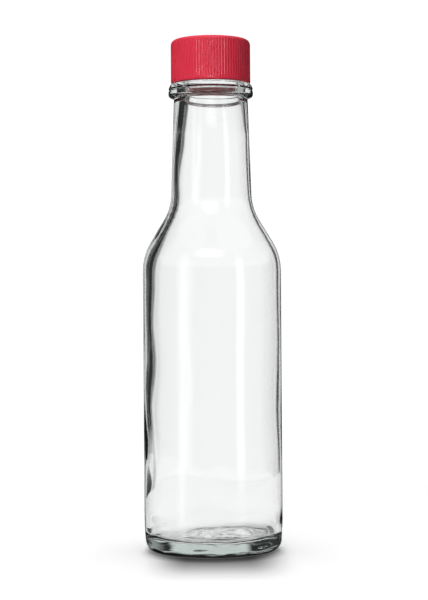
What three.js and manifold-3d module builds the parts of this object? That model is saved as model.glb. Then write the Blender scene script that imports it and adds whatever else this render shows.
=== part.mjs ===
// An empty clear glass hot sauce bottle with a ribbed red screw cap.
// Millimetres, +Z up. The origin is the centre of the base, on the plane that the bottle stands on.
import * as THREE from "three";
import { mergeVertices } from "three/addons/utils/BufferGeometryUtils.js";
import Module from "manifold-3d";

const wasm = await Module();
wasm.setup();

// Driving dimensions of the glass
const BODY_RADIUS = 23.25;
const BOTTLE_HEIGHT = 170.2;
const BODY_WALL = 2.1;
const NECK_WALL = 1.7;
const FLOOR_HEIGHT = 4.6;
const FLOOR_CROWN = 1.2;

// The foot: a ring that the bottle stands on, round a shallow push-up
const PUSH_UP = { radius: 15.2, height: 2.2, round: 8 };
const FOOT = { innerRadius: 18.2, round: 0.8 };
const HEEL = { taper: 0.55, height: 8, round: 3.3, blend: 14 };
const FLOOR_ROUND = 5;

// The shoulder is a straight slope between two round bends
const SHOULDER = { height: 99.2, round: 19 };
const NECK_ROOT = { radius: 13.62, height: 115, round: 17 };
const NECK_TOP = { radius: 12.4, height: 152, round: 1 };

// The bead is the ring of glass that stands out just below the cap: a round lower lobe, the groove where the
// moulds part, and an upper lobe that slopes in
const BEAD = { radius: 14.4, bottom: 152.6, lowerRound: 1, topRadius: 13.7, top: 156.8, upperRound: 0.6 };
const BEAD_GROOVE = { height: 154.7, halfWidth: 0.5, depth: 0.3, round: 0.4 };

// The finish is the mouth that the cap screws onto
const FINISH_RADIUS = 10.75;
const FINISH_FOOT_ROUND = 0.5;
const RIM = { outerRound: 0.9, innerRound: 0.7 };
const BORE = { radius: 6.9, bottom: 161, bend: 4 };

// Below the bore the inside opens out in two cones, so the wall is thickest at the top of the neck
const BORE_FOOT = { radius: 9.1, height: 155.8, bend: 4 };
const NECK_INSIDE = { radius: 11.2, height: 140, bend: 30 };

// The cap, and the screw thread that it shares with the finish
const CAP = { radius: 13.4, height: 14.75, roof: 1.45, boreRadius: 12.2, edgeRound: 1.8, lipRound: 0.3 };
const CAP_SEAT_GAP = 0.1;
const BORE_OVERRUN = 1;
const RIBS = { count: 84, depth: 0.3, bottomBand: 1, fade: 0.5, topBand: 1.1 };
const THREAD = { pitch: 3.175, turns: 1.5, bottom: 161.2, fadeTurns: 0.12, sink: 0.4 };
const FINISH_THREAD = { depth: 1.1, baseWidth: 2, crestWidth: 1 };
const CAP_THREAD = { depth: -0.9, baseWidth: 1.6, crestWidth: 0.8 };

// How finely round shapes are cut into flat faces
const ARC_TOLERANCE = 0.06;
const LARGEST_SAG = 0.25;
const TURN_SEGMENTS = 48;
const THREAD_STEPS_PER_TURN = 40;
const MERGE_DISTANCE = 1e-4;

const GLASS = new THREE.MeshStandardMaterial({
  name: "clear_glass",
  color: 0xdfe8e5,
  roughness: 0.03,
  metalness: 0,
  transparent: true,
  opacity: 0.35,
});
const RED_PLASTIC = new THREE.MeshStandardMaterial({
  name: "red_plastic",
  color: 0xcc2f45,
  roughness: 0.38,
  metalness: 0,
});

// A corner of an outline: its distance from the axis, its height, and the radius that rounds it.
const corner = (radius, height, round = 0) => ({ at: new THREE.Vector2(radius, height), round });

// Points along straight lines between the corners, with an arc tangent to both lines at each round one.
function roundedOutline(corners) {
  const points = [];
  corners.forEach(({ at, round }, i) => {
    if (!round) {
      points.push(at);
      return;
    }
    const before = corners[i - 1].at.clone().sub(at).normalize();
    const after = corners[i + 1].at.clone().sub(at).normalize();
    const halfOpening = Math.acos(THREE.MathUtils.clamp(before.dot(after), -1, 1)) / 2;
    const middle = before.clone().add(after).normalize();
    const centre = at.clone().addScaledVector(middle, round / Math.sin(halfOpening));
    const start = at.clone().addScaledVector(before, round / Math.tan(halfOpening)).sub(centre);
    const sweep = Math.PI - 2 * halfOpening;
    const largestStep = 2 * Math.acos(1 - Math.min(ARC_TOLERANCE / round, LARGEST_SAG));
    const steps = Math.max(2, Math.ceil(sweep / largestStep));
    const turnsLeft = before.cross(after) < 0 ? 1 : -1;
    for (let k = 0; k <= steps; k += 1) {
      const arm = start.clone().rotateAround(new THREE.Vector2(), (turnsLeft * sweep * k) / steps);
      points.push(arm.add(centre));
    }
  });
  return points;
}

// The outline turned round the +Z axis.
function turned(outline, segments = TURN_SEGMENTS) {
  return new THREE.LatheGeometry(outline, segments).rotateX(Math.PI / 2);
}

// A closed geometry as a solid of merged vertices and whole triangles.
function solidOf(geometry) {
  const bare = new THREE.BufferGeometry();
  bare.setAttribute("position", geometry.getAttribute("position"));
  bare.setIndex(geometry.getIndex());
  const merged = mergeVertices(bare, MERGE_DISTANCE);
  const triVerts = [];
  const index = merged.getIndex().array;
  for (let i = 0; i < index.length; i += 3) {
    const [a, b, c] = index.subarray(i, i + 3);
    if (a !== b && b !== c && c !== a) triVerts.push(a, b, c);
  }
  const vertProperties = new Float32Array(merged.getAttribute("position").array);
  return new wasm.Manifold(
    new wasm.Mesh({ numProp: 3, vertProperties, triVerts: new Uint32Array(triVerts) }),
  );
}

// A named mesh of a solid.
function meshOf(name, solid, material) {
  const { vertProperties, triVerts } = solid.getMesh();
  const geometry = new THREE.BufferGeometry();
  geometry.setAttribute("position", new THREE.BufferAttribute(vertProperties, 3));
  geometry.setIndex(new THREE.BufferAttribute(triVerts, 1));
  geometry.computeVertexNormals();
  const mesh = new THREE.Mesh(geometry, material);
  mesh.name = name;
  return mesh;
}

// A right-hand helical ridge of trapezoid section that grows out of the wall at one end and back into it at
// the other. A positive depth stands out from the wall, and a negative one stands in from it.
function threadRidge({ wallRadius, bottom, depth, baseWidth, crestWidth }) {
  const { pitch, turns, fadeTurns, sink } = THREAD;
  const steps = Math.round(turns * THREAD_STEPS_PER_TURN);
  const buried = wallRadius - Math.sign(depth) * sink;
  const positions = [];
  const index = [];
  for (let i = 0; i <= steps; i += 1) {
    const turn = (turns * i) / steps;
    const growth = THREE.MathUtils.smoothstep(Math.min(turn, turns - turn), 0, fadeTurns);
    const crest = THREE.MathUtils.lerp((wallRadius + buried) / 2, wallRadius + depth, growth);
    const section = [
      [buried, -baseWidth / 2],
      [crest, -crestWidth / 2],
      [crest, crestWidth / 2],
      [buried, baseWidth / 2],
    ];
    const angle = turn * 2 * Math.PI;
    section.forEach(([radius, dz]) => {
      positions.push(radius * Math.cos(angle), radius * Math.sin(angle), bottom + turn * pitch + dz);
    });
    if (i === steps) continue;
    for (let k = 0; k < 4; k += 1) {
      const [a, b] = [4 * i + k, 4 * i + ((k + 1) % 4)];
      index.push(a, b + 4, b, a, a + 4, b + 4);
    }
  }
  const last = 4 * steps;
  index.push(0, 1, 2, 0, 2, 3, last, last + 2, last + 1, last, last + 3, last + 2);
  if (depth < 0) index.reverse();
  const geometry = new THREE.BufferGeometry();
  geometry.setAttribute("position", new THREE.Float32BufferAttribute(positions, 3));
  geometry.setIndex(index);
  return solidOf(geometry);
}

// The glass in one piece: up the outside from the push-up to the rim, then down the inside to the floor.
function bottleSolid() {
  const slope = (BODY_RADIUS - NECK_ROOT.radius) / (NECK_ROOT.height - SHOULDER.height);
  const slopeWall = BODY_WALL * Math.hypot(1, slope);
  const insideBody = BODY_RADIUS - BODY_WALL;
  const insideNeckRoot = NECK_ROOT.radius - NECK_WALL;
  const insideHeightAt = (radius) => SHOULDER.height + (BODY_RADIUS - slopeWall - radius) / slope;
  const outside = [
    corner(0, PUSH_UP.height),
    corner(PUSH_UP.radius, PUSH_UP.height, PUSH_UP.round),
    corner(FOOT.innerRadius, 0, FOOT.round),
    corner(BODY_RADIUS - HEEL.taper, 0, HEEL.round),
    corner(BODY_RADIUS, HEEL.height, HEEL.blend),
    corner(BODY_RADIUS, SHOULDER.height, SHOULDER.round),
    corner(NECK_ROOT.radius, NECK_ROOT.height, NECK_ROOT.round),
    corner(NECK_TOP.radius, NECK_TOP.height, NECK_TOP.round),
    corner(BEAD.radius, BEAD.bottom, BEAD.lowerRound),
    corner(BEAD.radius, BEAD_GROOVE.height - BEAD_GROOVE.halfWidth, BEAD_GROOVE.round),
    corner(BEAD.radius - BEAD_GROOVE.depth, BEAD_GROOVE.height, BEAD_GROOVE.round),
    corner(BEAD.radius, BEAD_GROOVE.height + BEAD_GROOVE.halfWidth, BEAD_GROOVE.round),
    corner(BEAD.topRadius, BEAD.top, BEAD.upperRound),
    corner(FINISH_RADIUS, BEAD.top, FINISH_FOOT_ROUND),
    corner(FINISH_RADIUS, BOTTLE_HEIGHT, RIM.outerRound),
  ];
  const inside = [
    corner(BORE.radius, BOTTLE_HEIGHT, RIM.innerRound),
    corner(BORE.radius, BORE.bottom, BORE.bend),
    corner(BORE_FOOT.radius, BORE_FOOT.height, BORE_FOOT.bend),
    corner(NECK_INSIDE.radius, NECK_INSIDE.height, NECK_INSIDE.bend),
    corner(insideNeckRoot, insideHeightAt(insideNeckRoot), NECK_ROOT.round + NECK_WALL),
    corner(insideBody, insideHeightAt(insideBody), SHOULDER.round - BODY_WALL),
    corner(insideBody, FLOOR_HEIGHT, FLOOR_ROUND),
    corner(0, FLOOR_HEIGHT + FLOOR_CROWN),
  ];
  const glass = solidOf(turned(roundedOutline([...outside, ...inside])));
  return glass.add(
    threadRidge({ wallRadius: FINISH_RADIUS, bottom: THREAD.bottom, ...FINISH_THREAD }),
  );
}

// How much of a rib's depth there is at a height above the cap's lower edge.
function ribShare(height) {
  const { bottomBand, fade, topBand } = RIBS;
  const rise = THREE.MathUtils.smoothstep(height, bottomBand, bottomBand + fade);
  const fall = THREE.MathUtils.smoothstep(CAP.height - height, topBand, topBand + fade);
  return rise * fall;
}

// The cap's outside as a closed blank. Every second line of vertices is drawn in, which leaves the ribs.
function ribbedBlank(bottom) {
  const { radius, height, edgeRound, lipRound } = CAP;
  const { bottomBand, fade } = RIBS;
  const top = bottom + height;
  const outline = roundedOutline([
    corner(0, bottom),
    corner(radius, bottom, lipRound),
    corner(radius, bottom + bottomBand),
    corner(radius, bottom + bottomBand + fade),
    corner(radius, top, edgeRound),
    corner(0, top),
  ]);
  const blank = turned(outline, 2 * RIBS.count);
  const position = blank.getAttribute("position");
  for (let i = 0; i < position.count; i += 1) {
    const line = Math.floor(i / outline.length) % 2;
    const [x, y, z] = [position.getX(i), position.getY(i), position.getZ(i)];
    const distance = Math.hypot(x, y);
    const shrink = line && distance > 0 ? 1 - (RIBS.depth * ribShare(z - bottom)) / distance : 1;
    position.setXYZ(i, x * shrink, y * shrink, z);
  }
  return solidOf(blank);
}

// The screw cap: the ribbed blank with its bore cut out and its own thread inside.
function capSolid() {
  const roofUnderside = BOTTLE_HEIGHT + CAP_SEAT_GAP;
  const bottom = roofUnderside + CAP.roof - CAP.height;
  const bore = turned([
    new THREE.Vector2(0, bottom - BORE_OVERRUN),
    new THREE.Vector2(CAP.boreRadius, bottom - BORE_OVERRUN),
    new THREE.Vector2(CAP.boreRadius, roofUnderside),
    new THREE.Vector2(0, roofUnderside),
  ]);
  const ridge = threadRidge({
    wallRadius: CAP.boreRadius,
    bottom: THREAD.bottom - THREAD.pitch / 2,
    ...CAP_THREAD,
  });
  return ribbedBlank(bottom).subtract(solidOf(bore)).add(ridge);
}

const bottleWithCap = new THREE.Group();
bottleWithCap.add(
  meshOf("bottle", bottleSolid(), GLASS),
  meshOf("cap", capSolid(), RED_PLASTIC),
);

export default bottleWithCap;
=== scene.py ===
# Clear glass sauce bottle with a ribbed red screw cap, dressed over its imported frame.
# Metres, +Z up, the viewer of the photo on the -Y side.
import math
import bpy
import numpy as np
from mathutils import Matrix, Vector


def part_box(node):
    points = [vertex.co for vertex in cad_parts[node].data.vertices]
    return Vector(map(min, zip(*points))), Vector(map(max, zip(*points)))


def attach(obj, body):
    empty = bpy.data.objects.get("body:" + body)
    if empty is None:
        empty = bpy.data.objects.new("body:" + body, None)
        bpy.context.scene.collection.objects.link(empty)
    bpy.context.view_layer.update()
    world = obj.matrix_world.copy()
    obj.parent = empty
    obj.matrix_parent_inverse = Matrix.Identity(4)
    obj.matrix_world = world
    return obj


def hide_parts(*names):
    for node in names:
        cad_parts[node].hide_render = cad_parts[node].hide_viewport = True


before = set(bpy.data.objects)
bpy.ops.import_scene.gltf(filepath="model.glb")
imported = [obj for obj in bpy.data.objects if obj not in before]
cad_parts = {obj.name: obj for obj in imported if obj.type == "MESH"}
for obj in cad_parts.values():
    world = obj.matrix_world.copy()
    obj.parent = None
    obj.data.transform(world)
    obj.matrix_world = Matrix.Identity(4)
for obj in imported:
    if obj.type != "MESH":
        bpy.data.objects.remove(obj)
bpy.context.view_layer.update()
mm = 0.001  # the shapes are worked out in millimetres
glassHigh = np.array(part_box("bottle")[1]) / mm
capLow, capHigh = [np.array(p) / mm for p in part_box("cap")]
print("frame loaded:", sorted(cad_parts))


# smooth step: 0 below low, 1 above high, 3t^2 - 2t^3 between
def ease(x, low, high):
    t = np.clip((x - low) / (high - low), 0, 1)
    return t * t * (3 - 2 * t)


# sum of crossing waves (size, count, length, phase): size times the sine of the count times the angle, plus
# the distance along over the length, plus the phase
def crossingWaves(waves, angle, along):
    return sum(size * np.sin(count * angle + along / length + phase) for size, count, length, phase in waves)


# straight lines between corners (radius, height, round); each round corner becomes the arc that touches both
# lines, and every straight run is cut so that no step is longer than longestStep
def roundedOutline(corners, longestStep, arcDegrees=7):
    points = [np.array(corners[0][:2], float)]
    for before, here, after in zip(corners[:-2], corners[1:-1], corners[2:]):
        at, size = np.array(here[:2], float), here[2]
        toBefore = np.array(before[:2]) - at
        toAfter = np.array(after[:2]) - at
        toBefore /= np.hypot(*toBefore)
        toAfter /= np.hypot(*toAfter)
        halfOpening = math.acos(np.clip(toBefore @ toAfter, -1, 1)) / 2
        middle = (toBefore + toAfter) / np.hypot(*(toBefore + toAfter))
        centre = at + middle * size / math.sin(halfOpening)
        arm = at + toBefore * size / math.tan(halfOpening) - centre
        sweep = math.pi - 2 * halfOpening
        turn = -np.sign(toBefore[0] * toAfter[1] - toBefore[1] * toAfter[0])
        t = turn * np.linspace(0, sweep, max(3, math.ceil(sweep / math.radians(arcDegrees))))
        points += list(centre + np.stack([arm[0] * np.cos(t) - arm[1] * np.sin(t),
                                          arm[0] * np.sin(t) + arm[1] * np.cos(t)], -1))
    points = np.array(points + [np.array(corners[-1][:2], float)])
    steps = np.diff(points, axis=0)
    cuts = np.maximum(1, np.ceil(np.hypot(*steps.T) / longestStep)).astype(int)
    part = np.arange(cuts.sum()) - np.repeat(np.cumsum(cuts) - cuts, cuts)
    share = (part / np.repeat(cuts, cuts))[:, None]
    onTheWay = np.repeat(points[:-1], cuts, axis=0) + share * np.repeat(steps, cuts, axis=0)
    return np.vstack([onTheWay, points[-1:]])


screw = {
    "pitch": 3.175,
    "bottom": 161.2,             # where the ridge on the mouth starts
    "turns": 1.5,
    "fade": 0.12,                # share of a turn over which an end grows out of the wall
    "onGlass": (1.1, 2.0, 1.0),  # depth, width at the wall, width at the crest
    "inCap": (0.9, 1.6, 0.8),
    "onWall": 0.01,              # how near to its wall a point has to be to carry the ridge
}


# height of a right-hand helical ridge over its wall: a trapezoid across the turn nearest to each point, which
# grows out of the wall at the first end of the helix and back into it at the other; none off the wall
def threadHeight(s, angle, radius, height, wallRadius, bottom, size):
    depth, baseWidth, crestWidth = size
    turn = np.round((height - bottom) / s["pitch"] - angle / (2 * np.pi)) + angle / (2 * np.pi)
    off = np.abs(height - bottom - s["pitch"] * turn)
    across = ease(baseWidth / 2 - off, 0, (baseWidth - crestWidth) / 2)
    alongHelix = ease(np.minimum(turn, s["turns"] - turn), 0, s["fade"])
    return depth * across * alongHelix * (np.abs(radius - wallRadius) < s["onWall"])


# radius and height grids of an outline turned about the axis: the same at every angle
def turned(outline, angle):
    return outline[:, :1] + 0 * angle, outline[:, 1:] + 0 * angle


# a mesh from radius and height grids: rows run along the outline from pole to pole and columns round the
# axis, so point = (radius cos angle, radius sin angle, height); the first and last rows are single points
def turnedPiece(name, radius, height, angle):
    rows, columns = radius.shape
    ring = np.stack([radius * np.cos(angle), radius * np.sin(angle), height], -1)
    vertices = np.vstack([ring[0, :1], ring[1:-1].reshape(-1, 3), ring[-1, :1]]) * mm
    here, last = np.arange(columns), len(vertices) - 1
    after = (here + 1) % columns
    low = 1 + np.arange(rows - 3)[:, None] * columns
    quads = np.stack([low + here, low + after, low + columns + after, low + columns + here], -1)
    firstFan = np.stack([0 * here, 1 + after, 1 + here], -1)
    lastFan = np.stack([0 * here + last, last - columns + here, last - columns + after], -1)
    corners = np.concatenate([firstFan.ravel(), quads.ravel(), lastFan.ravel()])
    sizes = np.concatenate([np.full(columns, 3), np.full(quads.size // 4, 4), np.full(columns, 3)])
    mesh = bpy.data.meshes.new(name)
    mesh.vertices.add(len(vertices))
    mesh.vertices.foreach_set("co", vertices.ravel())
    mesh.loops.add(len(corners))
    mesh.loops.foreach_set("vertex_index", corners)
    mesh.polygons.add(len(sizes))
    mesh.polygons.foreach_set("loop_start", np.cumsum(sizes) - sizes)
    mesh.update(calc_edges=True)
    mesh.validate()
    mesh.shade_smooth()
    piece = bpy.data.objects.new(name, mesh)
    bpy.context.scene.collection.objects.link(piece)
    print(name, "-", len(vertices), "points,", int((sizes - 2).sum()), "triangles")
    return piece


glass = {
    "columns": 216,
    "outsideStep": 1.5,
    "mouthStep": 0.3,            # fine enough for the thread
    "insideStep": 1.2,
    "wall": 2.1,                 # body wall on average
    "neckWall": 1.7,
    "pushUp": (15.2, 2.2, 8),    # radius, height, round
    "foot": (18.2, 0.8),         # inner radius of the ring it stands on, round
    "heel": (0.55, 8, 3.3, 14),  # taper, height, round, blend
    "shoulder": (99.2, 19),      # height, round
    "neckRoot": (13.62, 115, 17),
    "neckTop": (12.4, 152, 0.6),
    "bead": (14.25, 152.6, 1),   # radius and bottom of its lower lobe, round
    "beadTop": (13.5, 156.8, 0.6),
    "partingGroove": (154.7, 0.5, 0.3, 0.4),  # height, half width, depth and round of the line round the bead
    "finish": (10.75, 0.5, 1),   # radius of the mouth, round at its foot, plain height above the bead
    "rim": (0.9, 0.7),           # rounds outside and inside
    "bore": (6.9, 161, 4),
    "boreFoot": (9.1, 155.8, 4),  # the two cones that the inside opens out in
    "neckInside": (11.2, 140, 30),
    "floor": (4.6, 1.2, 2),      # height at the wall, crown, round
    "seam": (0.05, 0.35),        # height and width of the two mould lines
    "seamSpan": ((1.5, 5), (151, 152)),  # heights over which they come and go
    # the blown wall is uneven: how much thicker it is on each side at a few heights
    "leftWall": [(8, 0.15), (28, 0.3), (46, 0.05), (62, 0.45), (74, 0.3), (90, 0.7), (100, 0.75),
                 (112, 0.1), (122, 0.15), (138, 0.75), (150, 0.6)],
    "rightWall": [(8, -0.55), (30, -0.6), (47, -0.45), (62, -0.55), (150, -0.4)],
    "frontWall": [(8, 0.0), (40, -0.2), (90, 0.1), (140, -0.1)],
    "backWall": [(8, 0.0), (55, 0.1), (100, -0.2), (140, 0.0)],
    # bearing and spread of each side in degrees
    "sides": {"leftWall": (187, 42), "rightWall": (353, 42), "frontWall": (270, 40), "backWall": (90, 40)},
    "slant": 5,                  # how far the unevenness drops in a radian of turn
    "wallSpan": ((5, 14), (148, 162), 12),  # heights over which it comes and goes, radius where it is full
    # waves: size, count round the axis, length along the outline, phase
    "wallRipples": [(0.05, 3, 6.5, 0), (0.04, 2, -9.5, 1)],
    "floorLumps": [(0.16, 3, 2.1, 0), (0.112, 7, -1.4, 2), (0.064, 13, 0.9, 0)],
    "floorSpan": (10, (6, 11)),  # radius where the lumps are full, heights over which they go
    "heelWaves": [(0.05, 7, 1.3, 0), (0.05, 12, -0.9, 0)],
    "heelInset": 0.1,            # keeps the waves inside the outline
    "heelSpan": ((3, 11), (19.5, 21.5)),  # heights over which they go, radii over which they come
    "underLumps": [(0.02, 4, 1.6, 2), (0.02, 7, -1.5, 1)],
    "underSpan": ((0, 6), (15, 17.5), 3),  # radii over which they come and go, height they stay under
}


# outside and inside outlines of the glass: those of the solid, with a tighter bead and inner floor
def glassOutlines(g):
    bodyRadius, top = glassHigh[0], glassHigh[2]
    shoulderHeight, shoulderRound = g["shoulder"]
    rootRadius, rootHeight, rootRound = g["neckRoot"]
    slope = (bodyRadius - rootRadius) / (rootHeight - shoulderHeight)
    slopeWall = g["wall"] * math.hypot(1, slope)
    insideBody, insideRoot = bodyRadius - g["wall"], rootRadius - g["neckWall"]
    taper, heelHeight, heelRound, heelBlend = g["heel"]
    footRadius, footRound = g["foot"]
    beadRadius, beadTop = g["bead"][0], g["beadTop"][1]
    grooveHeight, grooveHalf, grooveDepth, grooveRound = g["partingGroove"]
    finishRadius, finishRound, finishPlain = g["finish"]
    rimOutside, rimInside = g["rim"]
    boreRadius, boreBottom, boreBend = g["bore"]
    floorHeight, floorCrown, floorRound = g["floor"]
    land = ((finishRadius + boreRadius) / 2, top)

    # height at which the inside of the shoulder's slope has this radius
    def slopeHeight(radius):
        return shoulderHeight + (bodyRadius - slopeWall - radius) / slope

    body = roundedOutline([
        (0, g["pushUp"][1]), g["pushUp"], (footRadius, 0, footRound),
        (bodyRadius - taper, 0, heelRound), (bodyRadius, heelHeight, heelBlend),
        (bodyRadius, shoulderHeight, shoulderRound), (rootRadius, rootHeight, rootRound), g["neckTop"],
        g["bead"], (beadRadius, grooveHeight - grooveHalf, grooveRound),
        (beadRadius - grooveDepth, grooveHeight, grooveRound),
        (beadRadius, grooveHeight + grooveHalf, grooveRound), g["beadTop"],
        (finishRadius, beadTop, finishRound), (finishRadius, beadTop + finishPlain)], g["outsideStep"])
    mouth = roundedOutline([(finishRadius, beadTop + finishPlain), (finishRadius, top, rimOutside), land],
                           g["mouthStep"])
    inside = roundedOutline([
        land, (boreRadius, top, rimInside), (boreRadius, boreBottom, boreBend),
        g["boreFoot"], g["neckInside"],
        (insideRoot, slopeHeight(insideRoot), rootRound + g["neckWall"]),
        (insideBody, slopeHeight(insideBody), shoulderRound - g["wall"]),
        (insideBody, floorHeight, floorRound), (0, floorHeight + floorCrown)], g["insideStep"])
    return np.vstack([body, mouth[1:]]), inside[1:]


# how much thicker the wall is at an angle and height: each side has a run of eased steps from height to
# height under a bell round the axis, slanting a little, and two slow ripples are added; all of it fades out
# in the mouth and on the floor
def wallUnevenness(g, radius, angle, height):
    extra = crossingWaves(g["wallRipples"], angle, height)
    for name, (middle, spread) in g["sides"].items():
        heights, amounts = np.array(g[name], float).T
        away = (angle - math.radians(middle) + np.pi) % (2 * np.pi) - np.pi
        steps = ease((height + g["slant"] * away)[..., None], heights[:-1], heights[1:]) * np.diff(amounts)
        extra = extra + (amounts[0] + steps.sum(-1)) * np.exp(-(away / math.radians(spread)) ** 2 / 2)
    start, end, fullRadius = g["wallSpan"]
    return extra * ease(height, *start) * (1 - ease(height, *end)) * np.clip(radius / fullRadius, 0, 1)


# lumps of the inner floor: three crossing waves round and out, none at the middle or up the wall
def floorLumps(g, radius, angle, height):
    fullRadius, end = g["floorSpan"]
    fade = np.clip(radius / fullRadius, 0, 1) * (1 - ease(height, *end))
    return crossingWaves(g["floorLumps"], angle, radius) * fade


# height of the two mould lines: a bell across each line, eased in above the foot and out under the bead
def seamHeight(g, radius, angle, height):
    size, width = g["seam"]
    start, end = g["seamSpan"]
    off = np.abs((angle + np.pi / 2) % np.pi - np.pi / 2) * radius
    return size * np.exp(-(off / width) ** 2) * ease(height, *start) * (1 - ease(height, *end))


# waves of the heel: two crossing waves round and up, drawn in so that none stands out, gone above the heel
def heelWaves(g, radius, angle, height):
    end, start = g["heelSpan"]
    waves = crossingWaves(g["heelWaves"], angle, height) - g["heelInset"]
    return waves * (1 - ease(height, *end)) * ease(radius, *start)


# lumps of the underside: two crossing waves round and out, none at the middle or on the foot ring
def underLumps(g, radius, angle, height):
    start, end, under = g["underSpan"]
    fade = ease(radius, *start) * (1 - ease(radius, *end)) * (height < under)
    return crossingWaves(g["underLumps"], angle, radius) * fade


# the whole glass: both outlines turned, the thread, the mould lines and the heel's waves added to the outer
# radius, the lumps to the heights, and the unevenness of the wall taken from the inner radius
def makeGlass(g):
    outside, inside = glassOutlines(g)
    angle = np.linspace(0, 2 * np.pi, g["columns"], endpoint=False)[None]
    radius, height = turned(outside, angle)
    radius = radius + threadHeight(screw, angle, radius, height, g["finish"][0], screw["bottom"],
                                   screw["onGlass"])
    radius = radius + seamHeight(g, radius, angle, height)
    radius = radius + heelWaves(g, radius, angle, height)
    height = height + underLumps(g, radius, angle, height)
    insideRadius, insideHeight = turned(inside, angle)
    lumps = floorLumps(g, insideRadius, angle, insideHeight)
    insideRadius = insideRadius - wallUnevenness(g, insideRadius, angle, insideHeight)
    return turnedPiece("glass_bottle", np.vstack([radius, insideRadius]),
                       np.vstack([height, insideHeight + lumps]), angle)


capForm = {
    "columnsPerRib": 6,
    "boreStep": 0.45,
    "shellStep": 0.4,
    "shellArc": 6,              # degrees between points on its rounds
    "ribs": 84,
    "ribDepth": 0.16,
    "bottomBand": 1.0,          # plain ring below the ribs
    "topBand": 1.1,
    "fade": 0.5,
    "edgeRound": 1.8,
    "lipRound": 0.6,
    "roof": 1.45,
    "bore": (12.2, 0.4, 0.25),  # radius, rounds at the roof and at the lip
}


# how deep the ribs' valleys are: a raised cosine round the axis that fades at both bands
def ribValleys(c, angle, height):
    above, below = height - capLow[2], capHigh[2] - height
    share = ease(above, c["bottomBand"], c["bottomBand"] + c["fade"])
    share = share * ease(below, c["topBand"] - c["fade"], c["topBand"] + c["fade"])
    return c["ribDepth"] * share * (0.5 - 0.5 * np.cos(c["ribs"] * angle))


# the cap from under its roof, down the bore with its thread, round the lip and up the ribbed outside to the
# middle of the top: outlines turned, the thread and the ribs' valleys taken from the radius
def makeCap(c):
    radius, bottom, top = capHigh[0], capLow[2], capHigh[2]
    boreWall, roofRound, innerLipRound = c["bore"]
    under = top - c["roof"]
    lip = ((radius + boreWall) / 2, bottom)
    bore = roundedOutline([(0, under), (boreWall, under, roofRound), (boreWall, bottom, innerLipRound), lip],
                          c["boreStep"])
    shell = roundedOutline([lip, (radius, bottom, c["lipRound"]), (radius, top, c["edgeRound"]), (0, top)],
                           c["shellStep"], c["shellArc"])
    angle = np.linspace(0, 2 * np.pi, c["ribs"] * c["columnsPerRib"], endpoint=False)[None]
    boreRadius, boreHeight = turned(bore, angle)
    betweenTurns = screw["bottom"] - screw["pitch"] / 2
    boreRadius = boreRadius - threadHeight(screw, angle, boreRadius, boreHeight, boreWall, betweenTurns,
                                           screw["inCap"])
    shellRadius, shellHeight = turned(shell[1:], angle)
    shellRadius = shellRadius - ribValleys(c, angle, shellHeight)
    return turnedPiece("ribbed_cap", np.vstack([boreRadius, shellRadius]),
                       np.vstack([boreHeight, shellHeight]), angle)


# a new node material with its tree and shader
def newFinish(name):
    finish = bpy.data.materials.new(name)
    finish.use_nodes = True
    tree = finish.node_tree
    return finish, tree, tree.nodes["Principled BSDF"]


# plain values on the sockets of a node
def setValues(node, values):
    for name, value in values.items():
        node.inputs[name].default_value = value


# one step of arithmetic on sockets and plain numbers
def calculate(tree, operation, *values):
    step = tree.nodes.new("ShaderNodeMath")
    step.operation = operation
    for socket, value in zip(step.inputs, values):
        if isinstance(value, (int, float)):
            socket.default_value = value
        else:
            tree.links.new(value, socket)
    return step.outputs["Value"]


# the same smooth step as ease, from first to last
def eased(tree, source, low, high, first=0, last=1):
    spread = tree.nodes.new("ShaderNodeMapRange")
    spread.interpolation_type = "SMOOTHSTEP"
    setValues(spread, {"From Min": low, "From Max": high, "To Min": first, "To Max": last})
    tree.links.new(source, spread.inputs["Value"])
    return spread.outputs["Result"]


# coordinates of one kind, whole
def coordinates(tree, kind="Object"):
    return tree.nodes.new("ShaderNodeTexCoord").outputs[kind]


# a vector socket cut into its three axes
def splitAxes(tree, vector):
    split = tree.nodes.new("ShaderNodeSeparateXYZ")
    tree.links.new(vector, split.inputs["Vector"])
    return split.outputs["X"], split.outputs["Y"], split.outputs["Z"]


noiseMiddle = (0.3, 0.7)  # most of the noise lies between these


# noise on Object coordinates, its middle spread over a range
def noiseRange(tree, scale, detail, low=0, high=1):
    noise = tree.nodes.new("ShaderNodeTexNoise")
    setValues(noise, {"Scale": scale, "Detail": detail})
    tree.links.new(coordinates(tree), noise.inputs["Vector"])
    return eased(tree, noise.outputs["Fac"], *noiseMiddle, low, high)


# bumps from noise on the normal of a shader
def addBump(tree, shader, strength, distance, scale, detail):
    bump = tree.nodes.new("ShaderNodeBump")
    setValues(bump, {"Strength": strength, "Distance": distance})
    tree.links.new(noiseRange(tree, scale, detail), bump.inputs["Height"])
    tree.links.new(bump.outputs["Normal"], shader.inputs["Normal"])


# level distance from a point on Object coordinates: along both axes and straight, the root of their squares
def distances(tree, middle):
    place = splitAxes(tree, coordinates(tree))
    across, along = [calculate(tree, "ABSOLUTE", calculate(tree, "SUBTRACT", axis, at))
                     for axis, at in zip(place[:2], middle)]
    squares = calculate(tree, "MULTIPLY_ADD", across, across, calculate(tree, "POWER", along, 2))
    return across, along, calculate(tree, "SQRT", squares)


glassLook = {
    "tint": (0.40, 0.51, 0.48, 1),   # the colour it takes on where it is deep
    "density": 25,
    "ior": 1.52,
    "ripple": (0.02, 0.001, 70, 1),  # of blown glass: strength, distance, noise scale and detail
    "scuffAndShade": (0.0013, 0.0018),       # heights up to which the heel is scuffed and painted with shade, and clean above
    "scuffAndShadeWander": (150, 2, -0.0005, 0.0005),  # noise scale and detail, how far those heights wander
    "scuffAndShadeFrom": (0.0199, 0.0204),   # radius where that starts outside the foot ring
    "scuffedAndShaded": (0.8, 0.003),         # roughness of the scuff, and the share of the light it lets through, which paints shade on the foot
}
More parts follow.
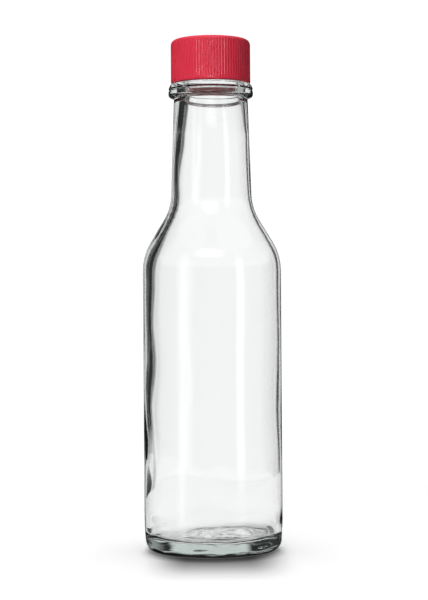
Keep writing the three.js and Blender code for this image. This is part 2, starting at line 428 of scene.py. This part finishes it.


# clear glass that tints light by the depth it crosses; the scuff, a step down in height times a step up in
# radius, makes it rough and paints a dark band of shade along the foot
def makeGlassLook(g):
    finish, tree, shader = newFinish("clear_flint_glass")
    setValues(shader, {"Transmission Weight": 1, "IOR": g["ior"]})
    height = splitAxes(tree, coordinates(tree))[2]
    height = calculate(tree, "ADD", height, noiseRange(tree, *g["scuffAndShadeWander"]))
    scuffAndShade = calculate(tree, "MULTIPLY", eased(tree, height, *g["scuffAndShade"], 1, 0),
                      eased(tree, distances(tree, (0, 0))[2], *g["scuffAndShadeFrom"]))
    rough, clear = g["scuffedAndShaded"]
    tree.links.new(calculate(tree, "MULTIPLY", scuffAndShade, rough), shader.inputs["Roughness"])
    # painted shade: the scuffed band lets almost no light through, a dark line along the foot
    tree.links.new(calculate(tree, "MULTIPLY_ADD", scuffAndShade, clear - 1, 1), shader.inputs["Base Color"])
    addBump(tree, shader, *g["ripple"])
    depth = tree.nodes.new("ShaderNodeVolumeAbsorption")
    setValues(depth, {"Color": g["tint"], "Density": g["density"]})
    tree.links.new(depth.outputs["Volume"], tree.nodes["Material Output"].inputs["Volume"])
    return finish


capLook = {
    "red": (0.68, 0.030, 0.062, 1),
    "paleRed": (0.71, 0.036, 0.070, 1),
    "mottle": (180, 3),                # scale and detail of the noise between the two reds
    "roughness": (150, 1, 0.24, 0.3),  # noise scale and detail, range
    "dullTop": (0.1700, 0.1716, 0.9),  # heights over which the side turns into the dull top, its roughness
    "ior": 1.49,
    "specular": 0.35,
    "skirtGlow": (0.2, (1, 0.12, 0.16), 0.0012),  # light in the thin skirt: share, reach by colour, scale
    "grain": (0.02, 0.0002, 2600, 2),  # of the mould: strength, distance, noise scale and detail
}


# two reds mixed by noise; the roughness is the larger of a noise and a step up to the dull top
def makeCapLook(c):
    finish, tree, shader = newFinish("red_moulded_plastic")
    mix = tree.nodes.new("ShaderNodeMix")
    mix.data_type = "RGBA"
    setValues(mix, {"A": c["red"], "B": c["paleRed"]})
    tree.links.new(noiseRange(tree, *c["mottle"]), mix.inputs["Factor"])
    tree.links.new(mix.outputs["Result"], shader.inputs["Base Color"])
    start, end, rough = c["dullTop"]
    dull = eased(tree, splitAxes(tree, coordinates(tree))[2], start, end, 0, rough)
    roughness = calculate(tree, "MAXIMUM", noiseRange(tree, *c["roughness"]), dull)
    tree.links.new(roughness, shader.inputs["Roughness"])
    share, reach, scale = c["skirtGlow"]
    setValues(shader, {"IOR": c["ior"], "Specular IOR Level": c["specular"], "Subsurface Weight": share,
                       "Subsurface Radius": reach, "Subsurface Scale": scale})
    addBump(tree, shader, *c["grain"])
    return finish


glassPiece = makeGlass(glass)
glassPiece.data.materials.append(makeGlassLook(glassLook))
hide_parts("bottle")
capPiece = makeCap(capForm)
capPiece.data.materials.append(makeCapLook(capLook))
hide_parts("cap")
for piece, slotName in ((glassPiece, "clear_glass"), (capPiece, "red_plastic")):
    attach(piece, "root")
print("pieces made")


studio = {
    "floorRadius": 0.22,
    "floorGrid": (4, 96),            # rings and sides
    "floorPale": 0.86,
    "floorRoughness": 0.9,
    "floorGlow": 0.385,
    "floorEdge": (0.08, 0.21, 1.0),  # where the lit paper turns into an even glow, and how bright that is
    "shade": ((0.0015, -0.015), (0.0095, 0.026), (0.0, 0.056), 0.12),  # painted shadow in front of the bottle: middle, reach across and along, share
    # round patches on the paper: middle, where they start to fade and end, share
    "contactShadow": ((0, -0.006), 0.0185, 0.026, 0.45),  # painted contact shadow: a dark line round the foot
    "paintedLightUnderGlass": ((0, 0), 0.0196, 0.0206, 0.8),    # painted pool of light where light would come down through the glass
    # name: place, aimed at, width, height, radiance, soft share of its edges
    "lights": {
        "top_softbox": ((0, 0.10, 1.25), (0, 0.05, 0), 0.9, 0.9, 5.0, 0.1),
        "left_strip": ((-0.60, -0.47, 0.10), (0, 0, 0.10), 0.32, 1.3, 1.7, 0.5),
        "right_strip": ((0.56, -0.52, 0.10), (0, 0, 0.10), 0.28, 1.3, 1.0, 0.5),
        "front_softbox": ((-0.08, -0.75, 0.62), (0, 0, 0.12), 0.95, 0.40, 3.0, 0.45),
    },
    "capLights": {
        "rib_light": ((0.01, -0.75, 0.275), (0, 0, 0.165), 0.16, 0.12, 28.0, 0.3),
        "cap_key": ((-0.44, -0.68, 0.35), (0, 0, 0.165), 0.40, 0.40, 17.5, 0.3),
        "cap_fill": ((0.35, -0.80, 0.10), (0, 0, 0.165), 0.50, 0.50, 0.8, 0.3),
    },
}


# light that fades towards the edges of its panel: the distance to the nearest edge, eased, both ways
def softenEdges(light, share):
    light.use_nodes = True
    tree = light.node_tree
    panel = tree.nodes.new("ShaderNodeNewGeometry")
    ways = splitAxes(tree, panel.outputs["Parametric"])[:2]
    across, along = [eased(tree, calculate(tree, "PINGPONG", way, 0.5), 0, share) for way in ways]
    tree.links.new(calculate(tree, "MULTIPLY", across, along), tree.nodes["Emission"].inputs["Strength"])


# paper whose pale colour and glow carry a painted shadow, darker towards the bottle and most of all along the
# foot, and a painted pool of light under the glass; far out its colour is eased away and its glow is even
def makePaper(s):
    paper, tree, shader = newFinish("floor_paper")
    setValues(shader, {"Roughness": s["floorRoughness"], "Specular IOR Level": 0,
                       "Emission Color": (1, 1, 1, 1)})

    # a round patch: first up to start, last from end
    def patch(middle, start, end, first, last):
        return eased(tree, distances(tree, middle)[2], start, end, first, last)

    # painted shadow: the paper is darker towards the bottle and darker still along the foot
    middle, acrossReach, alongReach, darkest = s["shade"]
    across, along = distances(tree, middle)[:2]
    darkness = calculate(tree, "MULTIPLY", eased(tree, across, *acrossReach, 1, 0),
                         eased(tree, along, *alongReach, 1 - darkest, 0))
    shade = calculate(tree, "SUBTRACT", 1, darkness)
    shade = calculate(tree, "MULTIPLY", shade, patch(*s["contactShadow"], 1))
    # painted light: the paper under the glass is made pale again
    shade = calculate(tree, "MAXIMUM", shade, patch(*s["paintedLightUnderGlass"], 0))
    start, end, edgeGlow = s["floorEdge"]
    lit = patch((0, 0), start, end, 1, 0)
    pale = calculate(tree, "MULTIPLY", lit, s["floorPale"])
    glow = calculate(tree, "MULTIPLY_ADD", lit, s["floorGlow"] - edgeGlow, edgeGlow)
    tree.links.new(calculate(tree, "MULTIPLY", shade, pale), shader.inputs["Base Color"])
    tree.links.new(calculate(tree, "MULTIPLY", shade, glow), shader.inputs["Emission Strength"])
    return paper


# round floor: rings of the radius times the cosine and sine of the angle
def makeFloor(s):
    rings, sides = s["floorGrid"]
    turn = np.linspace(0, 2 * np.pi, sides + 1)[None]
    reach = s["floorRadius"] * np.linspace(0, 1, rings + 1)[:, None]
    points = np.stack([reach * np.cos(turn), reach * np.sin(turn), 0 * reach * turn], -1)
    columns = sides + 1
    corner = (np.arange(rings)[:, None] * columns + np.arange(sides)).ravel()
    faces = np.stack([corner, corner + columns, corner + columns + 1, corner + 1], -1)
    mesh = bpy.data.meshes.new("floor")
    mesh.from_pydata(points.reshape(-1, 3).tolist(), [], faces.tolist())
    mesh.materials.append(makePaper(s))
    floor = bpy.data.objects.new("floor", mesh)
    bpy.context.scene.collection.objects.link(floor)
    floor.visible_glossy = False  # the glass mirrors the room instead, so its highlights run down to the foot
    return floor


# soft panels; those in capLights shine on the cap alone, and the strips on everything else
def makeLights(s, floor):
    receivers = {}
    for name, pieces in (("cap_only", [capPiece]), ("glass_and_floor", [glassPiece, floor])):
        receivers[name] = bpy.data.collections.new(name)
        for piece in pieces:
            receivers[name].objects.link(piece)
    for name, (place, aim, wide, tall, radiance, softShare) in {**s["lights"], **s["capLights"]}.items():
        light = bpy.data.lights.new(name, "AREA")
        light.shape = "RECTANGLE"
        light.size, light.size_y = wide, tall
        light.energy = radiance * math.pi * wide * tall
        softenEdges(light, softShare)
        lamp = bpy.data.objects.new(name, light)
        lamp.location = place
        towards = np.array(aim) - np.array(place)
        towards /= np.linalg.norm(towards)
        lamp.rotation_euler = (math.acos(-towards[2]), 0, math.atan2(towards[1], towards[0]) - math.pi / 2)
        lamp.visible_camera = False
        if name in s["capLights"]:
            lamp.light_linking.receiver_collection = receivers["cap_only"]
            lamp.visible_glossy = name == "rib_light"  # this one makes the ribs gleam, the others light them
            lamp.visible_diffuse = name != "rib_light"
        elif name.endswith("strip"):
            lamp.light_linking.receiver_collection = receivers["glass_and_floor"]
        bpy.context.scene.collection.objects.link(lamp)


# bearings run from +Y towards +X and heights up from level, both in degrees
room = {
    "white": 1.055,
    "front": (0.12, 0.5),  # behind the camera, for reflections and for light that comes through the glass
    "toCamera": 1.05,      # plain white straight behind everything
    "dark": 0.03,
    "window": (-23, 28),   # bearings of the white screen
    "windowTop": 22,
    "ceiling": 40,         # above this the room is white all round
    "horizon": -8,         # below this the room is as pale as the floor
    "behind": ((-65, -80), (32, 50)),  # where the dark sides turn into the room behind the camera
    "softness": 3.5,
}


# the room behind the glass: a white screen, dark sides, a white ceiling and ground and a grey front; each is
# a band of bearings or of heights with eased edges, and the lightest one counts
def makeRoom(r):
    world = bpy.data.worlds.new("studio_room")
    world.use_nodes = True
    bpy.context.scene.world = world
    tree = world.node_tree
    x, y, z = splitAxes(tree, coordinates(tree, "Generated"))
    bearing = calculate(tree, "ARCTAN2", x, y)
    rise = calculate(tree, "ARCSINE", z)
    sight = tree.nodes.new("ShaderNodeLightPath")
    through = sight.outputs["Is Transmission Ray"]  # reflections only show the dark sides and the front

    def above(source, degrees):
        low, high = math.radians(degrees - r["softness"]), math.radians(degrees + r["softness"])
        return eased(tree, source, low, high)

    def below(source, degrees):
        return calculate(tree, "SUBTRACT", 1, above(source, degrees))

    left, right = r["window"]
    window = calculate(tree, "MULTIPLY", above(bearing, left), below(bearing, right))
    window = calculate(tree, "MULTIPLY", window, below(rise, r["windowTop"]))
    upAndDown = calculate(tree, "MAXIMUM", above(rise, r["ceiling"]), below(rise, r["horizon"]))
    pale = calculate(tree, "MULTIPLY", calculate(tree, "MAXIMUM", window, upAndDown), r["white"])
    pale = calculate(tree, "MULTIPLY", pale, through)
    toLeft, toRight = [eased(tree, bearing, *np.radians(side)) for side in r["behind"]]
    front = calculate(tree, "MAXIMUM", toLeft, toRight)
    reflected, seenThrough = r["front"]
    frontLight = calculate(tree, "MULTIPLY_ADD", through, seenThrough - reflected, reflected)
    light = calculate(tree, "MAXIMUM", pale, calculate(tree, "MULTIPLY", front, frontLight))
    light = calculate(tree, "MAXIMUM", light, r["dark"])
    seen = tree.nodes.new("ShaderNodeMix")
    tree.links.new(sight.outputs["Is Camera Ray"], seen.inputs["Factor"])
    tree.links.new(light, seen.inputs["A"])
    seen.inputs["B"].default_value = r["toCamera"]
    background = tree.nodes["Background"]
    background.inputs["Color"].default_value = (1, 1, 1, 1)
    tree.links.new(seen.outputs["Result"], background.inputs["Strength"])


makeLights(studio, makeFloor(studio))
makeRoom(room)
print("studio made")


# level with the middle of the bottle
lens = {
    "distance": 0.560,
    "height": 0.0841,
    "side": 0.00064,
    "roll": 0.0068,      # the bottle leans a touch to the left in the frame
    "pixelsLong": 600,
    "focalPixels": 1659,
    "sensor": 36,
    "clip": (0.01, 50),
    "bounces": 24,       # enough for both walls of the glass and the thick base
}
camera = bpy.data.objects.new("camera", bpy.data.cameras.new("camera"))
camera.data.sensor_width = lens["sensor"]
camera.data.lens = lens["sensor"] * lens["focalPixels"] / lens["pixelsLong"]
camera.data.clip_start, camera.data.clip_end = lens["clip"]
camera.location = (lens["side"], -lens["distance"], lens["height"])
camera.rotation_euler = (math.pi / 2, lens["roll"], 0)
scene = bpy.context.scene
scene.collection.objects.link(camera)
scene.camera = camera
scene.view_settings.view_transform = "Standard"
scene.cycles.transmission_bounces = lens["bounces"]
scene.cycles.max_bounces = lens["bounces"]
print("camera set")
